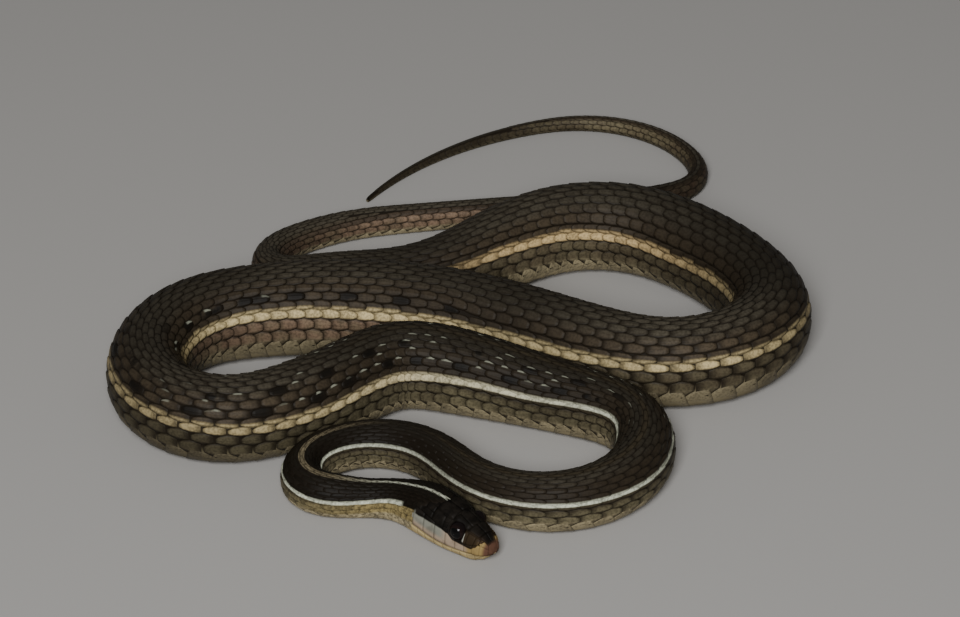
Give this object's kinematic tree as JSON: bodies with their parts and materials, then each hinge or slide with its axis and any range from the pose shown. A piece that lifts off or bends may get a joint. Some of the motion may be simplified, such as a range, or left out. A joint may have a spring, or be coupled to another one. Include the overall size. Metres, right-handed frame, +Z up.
{
  "type": "garter snake",
  "caption": "Life-size still model of a slender garter snake resting on flat ground in loose side-to-side bends, with a narrow head, large round eyes and a thin tail.",
  "frame": {"origin": "bottom centre of the bounding box, on the ground plane the snake lies on", "axes": "+Z up; +X to the right and +Y away from the viewer, as the picture was taken"},
  "size_m": [0.1286, 0.1492, 0.0177],
  "materials": {
    "dark_scales": "satin keeled scales, black brown",
    "brown_scales": "satin keeled scales, dark brown with a cream side stripe",
    "pale_scales": "smooth satin plates, cream and olive",
    "eyeball": "wet gloss, brown iris round a black pupil"
  },
  "bodies": {
    "root": {"head": "dark_scales", "lower_jaw": "pale_scales", "eye_left": "eyeball", "eye_right": "eyeball", "neck": "dark_scales", "trunk_1": "brown_scales", "trunk_2": "brown_scales", "trunk_3": "brown_scales", "trunk_4": "brown_scales", "trunk_5": "brown_scales", "trunk_6": "brown_scales", "trunk_7": "brown_scales", "tail_1": "brown_scales", "tail_2": "brown_scales", "tail_3": "brown_scales", "tail_4": "brown_scales"}
  },
  "joints": []
}
